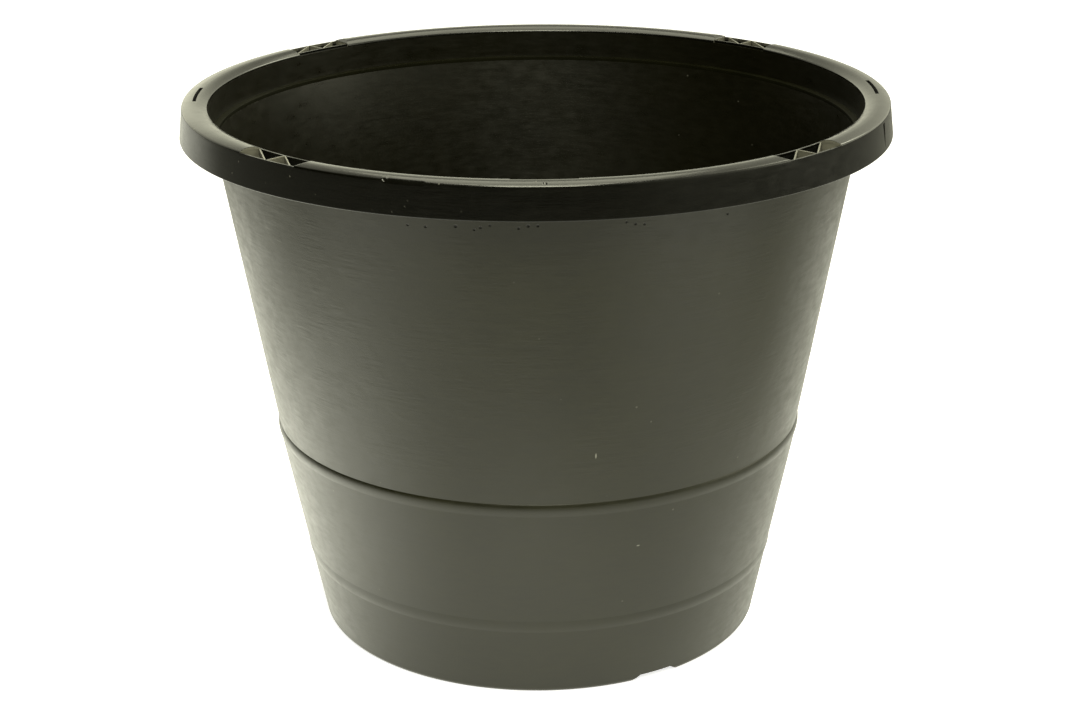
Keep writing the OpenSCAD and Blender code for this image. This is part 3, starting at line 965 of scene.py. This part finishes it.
# Soft glows of the studio's walls: heading and elevation of the middle, cosine of the angle from it where the
# glow starts, cosine where it is full, radiance
GLOWS = (
    (180, 20, 0.2, 0.8, 0.5),
    (215, 15, 0.8, 1.0, 0.65),
    (90, 20, 0.3, 0.9, 0.5),
    (120, 5, 0.4, 1.0, 0.8),
    (195, 0, 0.85, 1.0, 0.8),
    (0, 30, 0.3, 0.9, 0.06),
)
# Camera: place in metres, lens in millimetres, heading to the right of +Y, pitch down and roll in degrees
CAMERA_PLACE, CAMERA_LENS = (-0.0178, -0.8875, 0.4355), 71.17
CAMERA_HEADING, CAMERA_PITCH, CAMERA_ROLL = 1.21, 20.0, -0.376


def sum_of(k, values):
    total = values[0]
    for v in values[1:]:
        total = k.math("ADD", total, v)
    return total


def floor_material():
    """White floor. The camera sees it evenly lit, and the bucket reflects its pools of light."""
    m, tree, shader = new_material("studio_floor_white")
    k = Maker(tree)
    where = k.node("ShaderNodeTexCoord").outputs["Object"]
    pools = [
        k.span(k.distance(where, (x, y, 0)), full, none, radiance, 0)
        for x, y, full, none, radiance in POOLS
    ]
    seen = k.node("ShaderNodeLightPath").outputs["Is Camera Ray"]
    white = k.mix(k.noise(where, 3.0, 2), (0.85, 0.85, 0.85, 1), (0.84, 0.84, 0.84, 1))
    k.put(shader.inputs["Base Color"], k.mix(seen, (0.4, 0.4, 0.4, 1), white))
    shader.inputs["Roughness"].default_value = 0.9
    shader.inputs["Specular IOR Level"].default_value = 0
    k.put(shader.inputs["Emission Color"], k.mix(seen, FLOOR_WARM, WHITE))
    unseen = k.math("MULTIPLY", sum_of(k, pools), k.math("SUBTRACT", 1, seen))
    k.put(shader.inputs["Emission Strength"], k.math("ADD", k.math("MULTIPLY", seen, FLOOR_SEEN), unseen))
    return m


def studio_floor():
    bm = bmesh.new()
    bmesh.ops.create_circle(bm, cap_ends=True, radius=6, segments=96)
    floor = to_mesh(bm, "studio_floor")
    floor.data.materials.append(floor_material())


def area_light(name, place, aim, size, watts, spread):
    light = bpy.data.lights.new(name, "AREA")
    light.shape = "RECTANGLE"
    light.size, light.size_y = size
    light.energy = watts
    light.spread = math.radians(spread)
    light.color = LAMP_WARM[:3]
    obj = bpy.data.objects.new(name, light)
    bpy.context.scene.collection.objects.link(obj)
    obj.location = place
    obj.rotation_mode = "QUATERNION"
    obj.rotation_quaternion = (Vector(aim) - Vector(place)).to_track_quat("-Z", "Y")
    obj.visible_camera = False


def studio_world():
    """Even white for the camera, and for the bucket the soft glows of the studio's walls."""
    world = bpy.data.worlds.new("studio")
    bpy.context.scene.world = world
    world.use_nodes = True
    world.node_tree.nodes.clear()
    k = Maker(world.node_tree)
    out = k.node("ShaderNodeOutputWorld")
    background = k.node("ShaderNodeBackground")
    k.put(out.inputs["Surface"], background.outputs[0])
    direction = k.node("ShaderNodeTexCoord").outputs["Generated"]
    seen = k.node("ShaderNodeLightPath").outputs["Is Camera Ray"]
    glows = []
    for heading, elevation, start, full, radiance in GLOWS:
        level = cos_d(elevation)
        towards = k.node("ShaderNodeVectorMath", operation="DOT_PRODUCT")
        k.put(towards.inputs[0], direction)
        k.put(towards.inputs[1], (sin_d(heading) * level, -cos_d(heading) * level, sin_d(elevation)))
        glows.append(k.span(towards.outputs["Value"], start, full, 0, radiance))
    k.put(background.inputs["Strength"], k.math("MAXIMUM", sum_of(k, glows), seen))
    k.put(background.inputs["Color"], k.mix(seen, LAMP_WARM, WHITE))


def studio_camera():
    data = bpy.data.cameras.new("camera")
    data.sensor_width = 36
    data.lens = CAMERA_LENS
    data.clip_start, data.clip_end = 0.05, 20
    camera = bpy.data.objects.new("camera", data)
    bpy.context.scene.collection.objects.link(camera)
    bpy.context.scene.camera = camera
    forward = Vector((
        sin_d(CAMERA_HEADING) * cos_d(CAMERA_PITCH),
        cos_d(CAMERA_HEADING) * cos_d(CAMERA_PITCH),
        -sin_d(CAMERA_PITCH),
    ))
    level = Vector((cos_d(CAMERA_HEADING), -sin_d(CAMERA_HEADING), 0))
    upright = level.cross(forward)
    right = cos_d(CAMERA_ROLL) * level + sin_d(CAMERA_ROLL) * upright
    up = cos_d(CAMERA_ROLL) * upright - sin_d(CAMERA_ROLL) * level
    axes = Matrix((right, up, -forward)).transposed().to_4x4()
    camera.matrix_world = Matrix.Translation(CAMERA_PLACE) @ axes


studio_floor()
for settings in LIGHTS:
    area_light(*settings)
studio_world()
studio_camera()

bpy.context.scene.view_settings.view_transform = "Standard"
bpy.context.scene.view_settings.look = "None"
